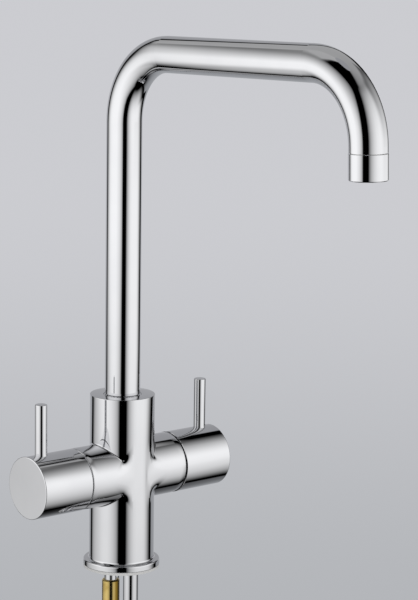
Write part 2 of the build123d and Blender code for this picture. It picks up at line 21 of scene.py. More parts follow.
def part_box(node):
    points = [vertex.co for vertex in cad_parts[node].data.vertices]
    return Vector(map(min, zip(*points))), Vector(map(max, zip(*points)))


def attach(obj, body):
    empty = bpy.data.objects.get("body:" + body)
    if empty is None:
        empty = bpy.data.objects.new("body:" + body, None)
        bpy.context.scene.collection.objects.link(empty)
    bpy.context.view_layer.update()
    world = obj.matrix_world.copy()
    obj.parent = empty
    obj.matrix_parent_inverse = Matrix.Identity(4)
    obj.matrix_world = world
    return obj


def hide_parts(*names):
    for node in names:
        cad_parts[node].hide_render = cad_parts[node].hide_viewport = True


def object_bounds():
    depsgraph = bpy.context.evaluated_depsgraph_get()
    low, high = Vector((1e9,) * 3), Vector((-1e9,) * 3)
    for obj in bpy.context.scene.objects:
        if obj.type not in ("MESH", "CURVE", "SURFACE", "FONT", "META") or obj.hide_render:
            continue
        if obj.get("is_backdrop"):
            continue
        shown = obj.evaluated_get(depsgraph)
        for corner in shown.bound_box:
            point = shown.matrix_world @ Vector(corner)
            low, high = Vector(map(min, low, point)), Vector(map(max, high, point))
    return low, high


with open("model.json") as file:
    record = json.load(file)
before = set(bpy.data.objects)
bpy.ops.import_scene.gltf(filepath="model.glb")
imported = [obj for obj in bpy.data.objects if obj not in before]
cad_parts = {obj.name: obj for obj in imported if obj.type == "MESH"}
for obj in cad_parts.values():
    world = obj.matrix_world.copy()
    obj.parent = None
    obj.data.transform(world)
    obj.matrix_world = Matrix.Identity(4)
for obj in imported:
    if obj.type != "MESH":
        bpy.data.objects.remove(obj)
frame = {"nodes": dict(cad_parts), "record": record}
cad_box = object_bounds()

MM = 0.001
pieces_by_slot = {}
for part in frame["record"]["subparts"]:
    pieces_by_slot.setdefault(part["material_slot"], []).append(part["node"])
for slot_name, names in pieces_by_slot.items():
    print(f"{slot_name}: {len(names)} pieces")

# %% [markdown]
# ## The camera
#
# A camera is placed by where it looks from.  Here it stands in front of the tap and to its left,
# a little above it, and far enough away that the tap keeps its natural proportions.  Its place
# is written as an angle round the tap, an angle above the horizon and a distance.  A very small
# roll stands for a tripod that wasn't quite level.

# %% Place the camera
IMAGE_HEIGHT = 600  # pixels, of a picture 418 wide
FOCAL_PIXELS = 2473.2
SENSOR_HEIGHT = 24.0
CAMERA_ROUND = math.radians(-40.27)
CAMERA_ABOVE = math.radians(10.42)
CAMERA_ROLL = math.radians(0.77)
CAMERA_DISTANCE = 1.654
AIM_HEIGHT = 0.2
AIM_RIGHT = 0.0575
AIM_UP = -0.0149
NEAREST, FARTHEST = 0.01, 50

to_camera = Vector((
    math.sin(CAMERA_ROUND) * math.cos(CAMERA_ABOVE),
    -math.cos(CAMERA_ROUND) * math.cos(CAMERA_ABOVE),
    math.sin(CAMERA_ABOVE),
))
level_right = Vector((math.cos(CAMERA_ROUND), math.sin(CAMERA_ROUND), 0))
level_up = to_camera.cross(level_right)
right = math.cos(CAMERA_ROLL) * level_right + math.sin(CAMERA_ROLL) * level_up
up = math.cos(CAMERA_ROLL) * level_up - math.sin(CAMERA_ROLL) * level_right
aim = Vector((0, 0, AIM_HEIGHT)) + AIM_RIGHT * level_right + AIM_UP * level_up

camera_data = bpy.data.cameras.new("camera")
camera_data.sensor_fit = "VERTICAL"
camera_data.sensor_height = SENSOR_HEIGHT
camera_data.lens = SENSOR_HEIGHT * FOCAL_PIXELS / IMAGE_HEIGHT
camera_data.clip_start = NEAREST
camera_data.clip_end = FARTHEST
camera = bpy.data.objects.new("camera", camera_data)
camera.matrix_world = Matrix.Translation(aim + CAMERA_DISTANCE * to_camera) @ (
    Matrix((right, up, to_camera)).transposed().to_4x4()
)
bpy.context.scene.collection.objects.link(camera)
bpy.context.scene.camera = camera
bpy.context.scene.view_settings.view_transform = "Standard"
print(f"lens {camera_data.lens:.1f} mm, camera {camera.location.z:.3f} m above the worktop")

# %% [markdown]
# ## Writing shaders as sums
#
# A material in Blender is a graph of nodes, and a graph soon hides what it works out.  Most of
# it is plain arithmetic on numbers that change from point to point, so we give sockets the
# ordinary operators: a small class holds a socket, and each operator adds one Math node.  Every
# other kind of node comes from one method, which takes the node's type, then its settings, then
# what goes into its sockets.

# %% Sockets that can be added and multiplied
class Socket:
    """An output of a node that takes part in Python arithmetic."""

    def __init__(self, recipe, output):
        self.recipe = recipe
        self.output = output

    def maths(self, operation, *values):
        return self.recipe.node("ShaderNodeMath", {"operation": operation}, dict(enumerate(values)))

    def __add__(self, other):
        return self.maths("ADD", self, other)

    def __sub__(self, other):
        return self.maths("SUBTRACT", self, other)

    def __rsub__(self, other):
        return self.maths("SUBTRACT", other, self)

    def __mul__(self, other):
        return self.maths("MULTIPLY", self, other)

    def __truediv__(self, other):
        return self.maths("DIVIDE", self, other)

    def __pow__(self, other):
        return self.maths("POWER", self, other)

    def __neg__(self):
        return self.maths("MULTIPLY", self, -1)

    __radd__ = __add__
    __rmul__ = __mul__

    def at_least(self, other):
        return self.maths("MAXIMUM", self, other)

    def at_most(self, other):
        return self.maths("MINIMUM", self, other)

    def exponential(self):
        return self.maths("EXPONENT", self)

    def sine(self):
        return self.maths("SINE", self)

    def angle_from(self, other):
        return self.maths("ARCTAN2", self, other)

    def smooth(self, low, high):
        """0 below low, 1 above high, and a soft step between them."""
        settings = {"interpolation_type": "SMOOTHSTEP"}
        return self.recipe.node("ShaderNodeMapRange", settings, {0: self, 1: low, 2: high})


class Recipe:
    """The node tree of one material or of the world."""

    def __init__(self, owner):
        owner.use_nodes = True
        self.tree = owner.node_tree
        self.tree.nodes.clear()

    def node(self, kind, settings=None, inputs=None, output=0):
        """Adds a node: its settings first, then the values or links of its sockets."""
        made = self.tree.nodes.new(kind)
        for name, value in (settings or {}).items():
            if name == "stops":
                self.set_stops(made.color_ramp, value)
            else:
                setattr(made, name, value)
        for name, value in (inputs or {}).items():
            if isinstance(value, Socket):
                self.tree.links.new(value.output, made.inputs[name])
            else:
                made.inputs[name].default_value = value
        if len(made.outputs):
            return Socket(self, made.outputs[output])
        return None

    def set_stops(self, ramp, stops):
        """Gives a ramp its (place, brightness) stops."""
        while len(ramp.elements) < len(stops):
            ramp.elements.new(1.0)
        for element, (place, level) in zip(ramp.elements, stops):
            element.position = place
            element.color = (level, level, level, 1)

    def mix(self, share, first, second):
        """A colour between two colours."""
        settings = {"data_type": "RGBA"}
        return self.node("ShaderNodeMix", settings, {0: share, 6: first, 7: second}, output=2)

    def vector_maths(self, operation, first, second=(0, 0, 0), output=0):
        """Arithmetic on two vectors."""
        settings = {"operation": operation}
        return self.node("ShaderNodeVectorMath", settings, {0: first, 1: second}, output)

    def reach_along(self, vector, direction):
        """How far a vector reaches along a direction."""
        return self.vector_maths("DOT_PRODUCT", vector, direction, "Value")


print("sockets can now be written as sums")

# %% [markdown]
# ## The studio
#
# A tap like this one is photographed in a tent: two tall, softly lit sheets almost close round
# it, with a dark slit at the camera.  The slit is the black band down the middle of every chrome
# cylinder, and the sheets are the bright bands beside it.  The tent is open at the back, where the
# grey background shows, and its opening has a black border, which is the thin dark line near the
# two sides of each cylinder.  Overhead the cloth is greyer, and its front half is black.
#
# We could light it with area lamps, but lamps leave gaps and hard corners in a mirror.  One
# round wall that glows by an amount we paint on it is closer to the real thing.  Its glow depends
# on the angle round the tap, counted from the camera, and on the height.

# %% The wall of the tent
TENT_RADIUS = 0.45
TENT_CENTRE_Y = -0.06
TENT_LOW, TENT_HIGH = -1.6, 2.6
TENT_SIDES = 240
HALF_TURN = 180.0

facing = Vector((to_camera.x, to_camera.y, 0)).normalized()


def circle(sides):
    """The angles of so many places round a circle."""
    return [2 * math.pi * side / sides for side in range(sides)]


def stage_object(name, points, faces):
    """A mesh that belongs to the studio and not to the tap."""
    mesh = bpy.data.meshes.new(name)
    mesh.from_pydata(points, [], faces)
    made = bpy.data.objects.new(name, mesh)
    bpy.context.scene.collection.objects.link(made)
    made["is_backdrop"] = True
    return made


tent_points = []
for turn in circle(TENT_SIDES):
    place = TENT_RADIUS * (math.cos(turn) * facing + math.sin(turn) * level_right)
    tent_points += [(place.x, place.y + TENT_CENTRE_Y, z) for z in (TENT_LOW, TENT_HIGH)]
feet = [2 * side for side in range(TENT_SIDES)]
tent_faces = [(here, there, there + 1, here + 1) for here, there in zip(feet, feet[1:] + feet[:1])]
tent = stage_object("light_tent", tent_points, [*tent_faces, feet])
tent.visible_camera = False
tent.visible_shadow = False
tent.visible_diffuse = False
print(f"the tent is {2 * TENT_RADIUS:.1f} m across")

# %% [markdown]
# ### Painting the light
#
# The ramps say how bright the two sheets are from the slit outwards.  The left sheet has two,
# because its outer part is dimmer low down than it is high up.  Above their brightest height and
# below it the sheets fade, and near their top the slit widens.  Beside the spout the right sheet
# reaches further round, and the left one does so near its top and near the worktop.
#
# Where one look gives way to another, it does so in a soft step.  Each pair of numbers says where
# such a step begins and where it ends, in degrees from the camera or in metres of height.

# %% How bright the tent is, and where
BRIGHTEST = 1.6
RIGHT_SHEET = [  # (degrees from the camera, brightness)
    (13, 0.0), (17.5, 0.34), (25, 0.77), (35, 1.14), (46, 1.40), (58, 1.50), (82, 1.50),
    (94, 1.38), (105, 0.95), (113, 0.50), (119, 0.20), (123.5, 0.0),
]
LEFT_SHEET = [
    (11, 0.0), (17, 0.72), (24, 1.00), (31, 1.25), (42, 1.42), (54, 1.58), (78, 1.58),
    (90, 1.53), (100, 1.40), (107, 1.15), (113, 0.85), (119, 0.50), (124, 0.12), (126, 0.0),
]
LEFT_SHEET_LOW = [
    (13, 0.0), (17, 0.36), (21, 0.72), (27, 0.98), (34, 1.20), (44, 1.42), (56, 1.55), (70, 1.55),
    (80, 1.47), (89, 1.31), (99, 1.02), (106, 0.86), (112, 0.65), (117, 0.30), (121, 0.0),
]
CEILING = [  # (degrees from the camera, to the right, brightness)
    (-180, 0.55), (-140, 0.55), (-122, 0.63), (-80, 0.60), (-76.5, 0.36), (-73, 0.12), (-69, 0.0),
    (18, 0.0), (22, 0.07), (28, 0.24), (34, 0.31), (46, 0.40), (90, 0.50), (180, 0.55),
]
CEILING_HEIGHT = (0.70, 0.95)
FLOOR_HEIGHT = (-1.35, -0.75)
FADES = {  # the height where each fade starts, its scale and its power
    "up, left": (0.33, 0.33, 1.5),
    "up, right": (0.30, 0.48, 1.85),
    "up, far right": (0.18, 0.37, 1.6),
    "down, left": (0.17, 0.85, 1.2),
    "down, right": (0.17, 0.68, 1.7),
}
HIGH_UP = (-0.02, 0.18)  # from the left sheet's low ramp to its high one
FAR_RIGHT = (60, 85)  # from the right sheet's one upward fade to the other
print(f"{len(FADES)} fades, and ramps of {len(LEFT_SHEET)} stops for the left sheet")

# %% The slit, the sheets' reach and the opening at the back
SLIT_WIDENS_LEFT, SLIT_WIDENS_RIGHT = 0.56, 0.72
SLIT_WIDENING = 0.30  # metres of height, to its widest
SLIT_EXTRA = 54.0  # degrees, at its widest
SLIT_POWER = 3
SLIT_FORGOTTEN = (60, 100)
BODY_SLIT_EXTRA = 2.0  # degrees that the left sheet's edge draws back beside the body
BODY_SLIT_ENDS = (-0.09, -0.03)
BODY_SLIT_FORGOTTEN = (40, 70)
RIGHT_WIDER = 12.0  # degrees that the right sheet reaches further round
RIGHT_WIDENS = (60, 105)
BESIDE_SPOUT = (-0.05, 0.08)
LEFT_WIDER_HIGH = 12.0
LEFT_WIDER_LOW = 9.0
LEFT_WIDENS = (85, 110)
LEFT_TOP = (0.42, 0.58)
NEAR_WORKTOP = (-0.10, 0.06)
LEFT_BORDER = 131.0  # degrees from the camera to the outside of the black border
LEFT_BORDER_LOW = 128.0
RIGHT_BORDER = 132.5
RIGHT_BORDER_WIDER = 16.0
BORDER_INSIDE = (0.86, 1.0)  # shares of the way to the border, from the middle of the back
BORDER_OUTSIDE = (1.05, 1.12)
OPENING_HIGH = 0.72
OPENING_CURVES = 0.30
OPENING_POWER = 2.2
OPENING_FOOT = (-0.75, 0.05)
ABOVE_OPENING = (0.58, 0.66)
BEHIND = (122, 130)
print(f"the opening is {2 * HALF_TURN - LEFT_BORDER - RIGHT_BORDER:.0f} degrees wide")


# %% Ramps and fades
def ramp_along(recipe, angle, stops, lowest=0.0):
    """Brightness as a share of the brightest, read from a ramp's stops."""
    span = HALF_TURN - lowest
    scaled = [((place - lowest) / span, level / BRIGHTEST) for place, level in stops]
    return recipe.node("ShaderNodeValToRGB", {"stops": scaled}, {"Fac": (angle - lowest) / span})


def fade(height, name):
    """Falls from 1 towards 0 above or below a height."""
    start, scale, power = FADES[name]
    beyond = height - start if name.startswith("up") else start - height
    return (-((beyond.at_least(0) / scale) ** power)).exponential()


def slit_extra(height, away, start):
    """How many degrees wider the slit is on one side, above the height where it widens."""
    rise = ((height - start).at_least(0) / SLIT_WIDENING).at_most(1)
    return SLIT_EXTRA * rise ** SLIT_POWER * (1 - away.smooth(*SLIT_FORGOTTEN))


print("ramps and fades can be laid round the tent")

# %% Paint the tent
tent_material = bpy.data.materials.new("light_tent")
tent_material.cycles.emission_sampling = "NONE"
recipe = Recipe(tent_material)
position = recipe.node("ShaderNodeNewGeometry", output="Position")
across = recipe.vector_maths("SUBTRACT", position, (0, TENT_CENTRE_Y, 0))
ahead = recipe.reach_along(across, facing)
aside = recipe.reach_along(across, level_right)
height = recipe.node("ShaderNodeSeparateXYZ", inputs={0: position}, output="Z")
angle = aside.angle_from(ahead) * (HALF_TURN / math.pi)
to_right = angle.at_least(0)
to_left = (-angle).at_least(0)
away = to_right + to_left

beside_spout = height.smooth(*BESIDE_SPOUT)
right_wider = RIGHT_WIDER * beside_spout * to_right.smooth(*RIGHT_WIDENS)
right_angle = to_right - right_wider - slit_extra(height, away, SLIT_WIDENS_RIGHT)
far_right = to_right.smooth(*FAR_RIGHT)
right_up = fade(height, "up, right") * (1 - far_right) + fade(height, "up, far right") * far_right
right_glow = ramp_along(recipe, right_angle, RIGHT_SHEET) * right_up * fade(height, "down, right")

high_share = height.smooth(*HIGH_UP)
low_share = 1 - height.smooth(*NEAR_WORKTOP)
body_slit = (1 - height.smooth(*BODY_SLIT_ENDS)) * (1 - to_left.smooth(*BODY_SLIT_FORGOTTEN))
left_slit = slit_extra(height, away, SLIT_WIDENS_LEFT) + BODY_SLIT_EXTRA * body_slit
left_wider = LEFT_WIDER_HIGH * height.smooth(*LEFT_TOP) + LEFT_WIDER_LOW * low_share
left_angle = to_left - left_wider * to_left.smooth(*LEFT_WIDENS) - left_slit
left_glow = (
    ramp_along(recipe, left_angle, LEFT_SHEET) * high_share
    + ramp_along(recipe, left_angle, LEFT_SHEET_LOW) * (1 - high_share)
)
left_glow = left_glow * fade(height, "up, left") * fade(height, "down, left")

# The reach is 1 on the border, less in the opening and more on the cloth.
on_right = angle.maths("GREATER_THAN", angle, 0)
left_border = LEFT_BORDER_LOW + (LEFT_BORDER - LEFT_BORDER_LOW) * high_share
left_border = left_border + LEFT_WIDER_LOW * low_share
right_border = RIGHT_BORDER + RIGHT_BORDER_WIDER * beside_spout
border = left_border + on_right * (right_border - left_border)
from_back = (HALF_TURN - away) / (HALF_TURN - border)
over_curve = (height - OPENING_CURVES).at_least(0) / (OPENING_HIGH - OPENING_CURVES)
reach = (from_back ** OPENING_POWER + over_curve ** OPENING_POWER) ** (1 / OPENING_POWER)
open_share = (1 - reach.smooth(*BORDER_INSIDE)) * height.smooth(*OPENING_FOOT)

behind = away.smooth(*BEHIND) * height.smooth(*ABOVE_OPENING)
overhead = height.smooth(*CEILING_HEIGHT).at_least(behind)
ceiling_glow = ramp_along(recipe, angle, CEILING, -HALF_TURN)
glow = (right_glow + left_glow) * (1 - overhead) + ceiling_glow * overhead
glow = glow * reach.smooth(*BORDER_OUTSIDE) * height.smooth(*FLOOR_HEIGHT)

cloth = recipe.node("ShaderNodeEmission", inputs={
    "Color": recipe.mix(glow, (0, 0, 0, 1), (1, 1, 1, 1)),
    "Strength": BRIGHTEST,
})
clear = recipe.node("ShaderNodeBsdfTransparent")
recipe.node("ShaderNodeOutputMaterial", inputs={
    "Surface": recipe.node("ShaderNodeMixShader", inputs={0: open_share, 1: cloth, 2: clear}),
})
tent.data.materials.append(tent_material)
print("the tent glows")

# %% [markdown]
# ## The background
#
# Behind the tap is a plain pale grey, a touch lighter at the top.  A world that lights the tap
# with that grey would also tint and dim the matt pieces, so the world has two faces: the camera
# and the mirrors see the grey, and everything else is lit by plain white.

# %% The world
BACKGROUND_ABOVE = (0.470, 0.474, 0.495, 1)
BACKGROUND_HIGH = (0.602, 0.606, 0.636, 1)
BACKGROUND_LOW = (0.450, 0.462, 0.485, 1)
PICTURE_SLOPES = (math.sin(math.radians(-18.5)), math.sin(math.radians(-7.5)))
RAISED_SLOPES = (0.0, 0.15)
PLAIN_LEVEL = 0.8

world = bpy.data.worlds.new("studio")
bpy.context.scene.world = world
recipe = Recipe(world)
looking = recipe.node("ShaderNodeTexCoord", output="Generated")
slope = recipe.node("ShaderNodeSeparateXYZ", inputs={0: looking}, output="Z")
colour = recipe.mix(slope.smooth(*PICTURE_SLOPES), BACKGROUND_LOW, BACKGROUND_HIGH)
colour = recipe.mix(slope.smooth(*RAISED_SLOPES), colour, BACKGROUND_ABOVE)
seen, mirrored, through = (
    recipe.node("ShaderNodeLightPath", output=f"Is {way} Ray")
    for way in ("Camera", "Glossy", "Transmission")
)
grey = recipe.node("ShaderNodeBackground", inputs={"Color": colour, "Strength": 1.0})
plain = {"Color": (1, 1, 1, 1), "Strength": PLAIN_LEVEL}
white = recipe.node("ShaderNodeBackground", inputs=plain)
either = seen.at_least(mirrored).at_least(through)
faces = recipe.node("ShaderNodeMixShader", inputs={0: either, 1: white, 2: grey})
recipe.node("ShaderNodeOutputWorld", inputs={"Surface": faces})
print("the world is pale grey to the eye and white to the matt pieces")

# %% [markdown]
# ## A lamp and a floor
#
# The sheets are only for mirrors.  The matt pieces are lit by the plain white world, and one
# large, soft lamp overhead gives them a side that is brighter and a shadow to stand on.  The
# mirrors don't see the lamp, because a square in the chrome would spoil its clean bands.
#
# The floor is a round pale disc below the hanging tails that fades out at its rim, so that the
# background stays one even grey past it.

# %% The lamp
LAMP_SIZE = 0.7
LAMP_WATTS = 7.0
LAMP_PLACE = Vector((-0.5, -0.6, 1.2))

lamp_data = bpy.data.lights.new("soft_lamp", "AREA")
lamp_data.size = LAMP_SIZE
lamp_data.energy = LAMP_WATTS
lamp = bpy.data.objects.new("soft_lamp", lamp_data)
lamp.location = LAMP_PLACE
lamp.rotation_euler = LAMP_PLACE.to_track_quat("Z", "Y").to_euler()
lamp.visible_glossy = False
bpy.context.scene.collection.objects.link(lamp)
print(f"lamp {LAMP_PLACE.length:.2f} m from the tap's foot")

# %% The floor
FLOOR_RADIUS = 0.235
FLOOR_FADE = 0.11
FLOOR_SIDES = 96
FLOOR_COLOUR = (0.60, 0.604, 0.615, 1)
FLOOR_ROUGHNESS = 0.9

floor_height = cad_box[0].z
floor_points = [
    (FLOOR_RADIUS * math.cos(turn), FLOOR_RADIUS * math.sin(turn), floor_height)
    for turn in circle(FLOOR_SIDES)
]
floor = stage_object("floor", floor_points, [range(FLOOR_SIDES)])
floor.visible_glossy = False

floor_material = bpy.data.materials.new("pale_floor")
recipe = Recipe(floor_material)
position = recipe.node("ShaderNodeNewGeometry", output="Position")
level_place = recipe.vector_maths("MULTIPLY", position, (1, 1, 0))
from_middle = recipe.vector_maths("LENGTH", level_place, output="Value")
paper = recipe.node("ShaderNodeBsdfPrincipled", inputs={
    "Base Color": FLOOR_COLOUR,
    "Roughness": FLOOR_ROUGHNESS,
    "Alpha": 1 - from_middle.smooth(FLOOR_RADIUS - FLOOR_FADE, FLOOR_RADIUS),
})
recipe.node("ShaderNodeOutputMaterial", inputs={"Surface": paper})
floor.data.materials.append(floor_material)
print(f"floor at {floor_height:.3f} m, {2 * FLOOR_RADIUS:.2f} m across")

# %% [markdown]
# ## Finishes
#
# Every finish is a short recipe.  They share a frame: a material, its place on the piece, and one
# shader at the end.  The place is read in object coordinates, so a pattern stays on its piece
# when the piece turns.

# %% What all finishes share
finishes = {}


def noise(recipe, place, grains, detail=2.0, stretch=(1, 1, 1)):
    """Soft random values about 0.5, with so many grains to the metre."""
    where = recipe.vector_maths("MULTIPLY", place, stretch)
    inputs = {"Vector": where, "Scale": grains, "Detail": detail}
    return recipe.node("ShaderNodeTexNoise", inputs=inputs)


def bump(recipe, height, depth):
    """Bends the surface's normal by a height map, depth being its height in metres."""
    inputs = {"Strength": 1.0, "Distance": depth, "Height": height}
    return recipe.node("ShaderNodeBump", inputs=inputs)


def finish(name):
    """Runs a recipe for one slot and keeps the material that it makes."""

    def keep(write):
        material = bpy.data.materials.new(name)
        recipe = Recipe(material)
        place = recipe.node("ShaderNodeTexCoord", output="Object")
        shader = recipe.node("ShaderNodeBsdfPrincipled", inputs=write(recipe, place))
        recipe.node("ShaderNodeOutputMaterial", inputs={"Surface": shader})
        finishes[name] = material
        return write

    return keep


print("ready to write finishes")

# %% [markdown]
# ### Chrome
#
# Chrome plate reflects a little under six tenths of the light, with a trace of blue.  It is so
# smooth that any visible bump would be wrong, but no polished surface is perfect: a buffing
# wheel leaves it with waves too shallow to see except where they bend a straight reflection, and
# handling leaves a thin haze here and there.  Both are painted very lightly.

# %% Chrome finishes
CHROME = (0.575, 0.578, 0.590, 1)
CHROME_WORN = (0.555, 0.558, 0.572, 1)


@finish("polished_chrome")
def polished_chrome(recipe, place):
    haze = noise(recipe, place, grains=38, detail=3)
    waves = noise(recipe, place, grains=24, detail=0)
    return {
        "Base Color": recipe.mix(haze.smooth(0.35, 0.75), CHROME, CHROME_WORN),
        "Metallic": 1.0,
        "Roughness": 0.004 + 0.012 * haze.smooth(0.45, 0.9),
        "Normal": bump(recipe, waves, depth=0.006 * MM),
    }


@finish("tail_chrome")
def tail_chrome(recipe, place):
    drawn = noise(recipe, place, grains=220, stretch=(1, 1, 0.06))
    return {
        "Base Color": recipe.mix(drawn.smooth(0.3, 0.8), CHROME, CHROME_WORN),
        "Metallic": 1.0,
        "Roughness": 0.02 + 0.03 * drawn,
        "Normal": bump(recipe, drawn, depth=0.004 * MM),
    }


print("chrome written")

# %% [markdown]
# ### Brass and steel
#
# The fixing post is bare brass, turned on a lathe.  The tool leaves fine rings along it, which
# stretch every highlight across them, and the air dulls it in soft patches.  The cold tail beside
# it isn't mirrored, for a reason given below, so its dark reflection and the shade that it would
# give the post are painted in brown on the side that faces it.  The steel plate is pressed and
# zinc plated, which gives a faint crystal bloom, and the small screws are plain stainless steel.

# %% Brass and steel finishes
BRASS = (0.57, 0.43, 0.16, 1)
BRASS_DULL = (0.40, 0.28, 0.08, 1)
# The brown is a painted reflection and shade of the cold tail on the post's side that faces it.
TAIL_REFLECTION_BROWN = (0.20, 0.125, 0.018, 1)
TAIL_REFLECTION_SIDE = (0.45, 0.78)  # cosines of the angle away from the cold tail
TURNING_PITCH = 0.22 * MM
TURNING_WANDER = 2.4  # radians
ZINC = (0.60, 0.61, 0.63, 1)
ZINC_DARK = (0.42, 0.43, 0.45, 1)
ZINC_CRYSTALS = 420  # to the metre
STEEL = (0.50, 0.50, 0.49, 1)
STEEL_DARK = (0.36, 0.36, 0.36, 1)


def turning_rings(recipe, place):
    """Fine rings along a turned piece's upright axis, broken up a little as real ones are."""
    along = recipe.node("ShaderNodeSeparateXYZ", inputs={0: place}, output="Z")
    wander = noise(recipe, place, grains=900) * TURNING_WANDER
    return (along * (2 * math.pi / TURNING_PITCH) + wander).sine()


def level_middle(node):
    """The middle of a piece's box, seen from above."""
    low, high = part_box(node)
    return (low + high).to_2d() / 2


@finish("bare_brass")
def bare_brass(recipe, place):
    patches = noise(recipe, place, grains=120, detail=4)
    metal = recipe.mix(patches.smooth(0.45, 0.8), BRASS, BRASS_DULL)
    # The side that faces the cold tail gets a painted reflection and shade of the tail, in brown.
    normal = recipe.node("ShaderNodeNewGeometry", output="Normal")
    to_tail = (level_middle("cold_tail") - level_middle("fixing_post")).normalized().to_3d()
    facing_tail = recipe.reach_along(normal, to_tail)
    return {
        "Base Color": recipe.mix(facing_tail.smooth(*TAIL_REFLECTION_SIDE), metal, TAIL_REFLECTION_BROWN),
        "Metallic": 1.0,
        "Roughness": 0.10 + 0.08 * patches,
        "Normal": bump(recipe, turning_rings(recipe, place), depth=0.001 * MM),
    }


@finish("inner_brass")
def inner_brass(recipe, place):
    patches = noise(recipe, place, grains=200, detail=4)
    return {
        "Base Color": recipe.mix(patches.smooth(0.4, 0.8), BRASS, BRASS_DULL),
        "Metallic": 1.0,
        "Roughness": 0.25 + 0.15 * patches,
        "Normal": bump(recipe, patches, depth=0.01 * MM),
    }


@finish("plated_steel")
def plated_steel(recipe, place):
    grid = {"Vector": place, "Scale": ZINC_CRYSTALS}
    crystals = recipe.node("ShaderNodeTexVoronoi", inputs=grid, output="Color")
    bloom = recipe.node("ShaderNodeSeparateXYZ", inputs={0: crystals}, output="X")
    scuffs = noise(recipe, place, grains=300, detail=4)
    return {
        "Base Color": recipe.mix(bloom * 0.6 + scuffs * 0.3, ZINC, ZINC_DARK),
        "Metallic": 1.0,
        "Roughness": 0.3 + 0.15 * bloom,
        "Normal": bump(recipe, scuffs, depth=0.03 * MM),
    }


@finish("screw_steel")
def screw_steel(recipe, place):
    scuffs = noise(recipe, place, grains=900, detail=3)
    return {
        "Base Color": recipe.mix(scuffs.smooth(0.35, 0.75), STEEL, STEEL_DARK),
        "Metallic": 1.0,
        "Roughness": 0.22 + 0.2 * scuffs,
        "Normal": bump(recipe, scuffs, depth=0.01 * MM),
    }


print("brass and steel written")

# %% [markdown]
# ### Rubber, plastic and ceramic
#
# These are the quiet ones.  The band under the foot is a pale grey rubber with a satin face and a
# fine grain from its mould.  The seals are black, the sliding rings and the inner hose are milky
# plastic, the outlet's grille is a mid grey, and the valve discs are white ceramic lapped flat.

# %% Rubber, plastic and ceramic finishes
GRAINS_TO_CLOUD = 12


def moulded(name, light, dark, roughness, grains, relief, coat=0.0):
    """A finish for a moulded piece: two close colours and the grain of its mould."""
    light_colour, dark_colour = (*light, 1), (*dark, 1)

    @finish(name)
    def write(recipe, place):
        speckle = noise(recipe, place, grains, detail=4)
        clouds = noise(recipe, place, grains / GRAINS_TO_CLOUD)
        shade = speckle * 0.6 + clouds * 0.4
        return {
            "Base Color": recipe.mix(shade.smooth(0.3, 0.75), light_colour, dark_colour),
            "Roughness": roughness + 0.16 * (speckle - 0.5),
            "Coat Weight": coat,
            "Normal": bump(recipe, speckle, relief * MM),
        }


moulded("base_rubber", (0.60, 0.60, 0.59), (0.50, 0.50, 0.50), 0.55, 1600, 0.03)
moulded("black_rubber", (0.030, 0.030, 0.031), (0.016, 0.016, 0.017), 0.62, 1400, 0.04)
moulded("seam_plastic", (0.034, 0.034, 0.036), (0.020, 0.020, 0.022), 0.45, 1500, 0.02)
moulded("slide_plastic", (0.80, 0.80, 0.77), (0.72, 0.72, 0.69), 0.42, 1100, 0.02)
moulded("grille_plastic", (0.50, 0.51, 0.52), (0.40, 0.41, 0.42), 0.40, 1300, 0.02)
moulded("ceramic", (0.86, 0.86, 0.84), (0.80, 0.80, 0.78), 0.18, 2200, 0.006, coat=0.3)
print(f"{len(finishes)} finishes: {', '.join(sorted(finishes))}")

# %% [markdown]
# ## Dressing the solid pieces
#
# The record names a finish for each piece, so the two lists are simply brought together.
#
# In a kitchen the worktop lies between the chrome and the pieces that hang below it, and the
# underside of the handles never mirrors them.  There is no worktop here, so those pieces are
# hidden from reflections instead.

# %% Give every solid piece its finish
for slot_name, names in pieces_by_slot.items():
    for name in names:
        for slot in frame["nodes"][name].material_slots:
            slot.material = finishes[slot_name]
print(f"{len(frame['nodes'])} pieces dressed")

# %% Keep what hangs below the worktop out of the chrome above it
HANGING = (
    "cold_tail", "hot_tail", "filter_tail", "fixing_nut", "horseshoe_plate", "horseshoe_seal",
)

for name in HANGING:
    frame["nodes"][name].visible_glossy = False
print(f"{len(HANGING)} pieces aren't mirrored")

# %% [markdown]
# ## A shell that knows its normals
#
# A mirror shows every fault of a mesh.  Blender works out a smooth normal from the faces round a
# corner, and on a coarse or uneven mesh those are a little wrong, which makes a reflection
# wobble.  For the pieces that we model here we know the true surface as a formula, so we write
# down its normal at each corner as we go, and hand them to the mesh with its faces.
#
# The class below collects sheets of points.  Points that lie in the same place are joined, so
# sheets that share an edge close into one skin.

# %% A shell made of sheets
WELD_DIGITS = 8
FLATTEST = 1e-13  # square metres; a face smaller than this has shrunk to a line
SQUARE = ((0, 0), (0, 1), (1, 1), (1, 0))


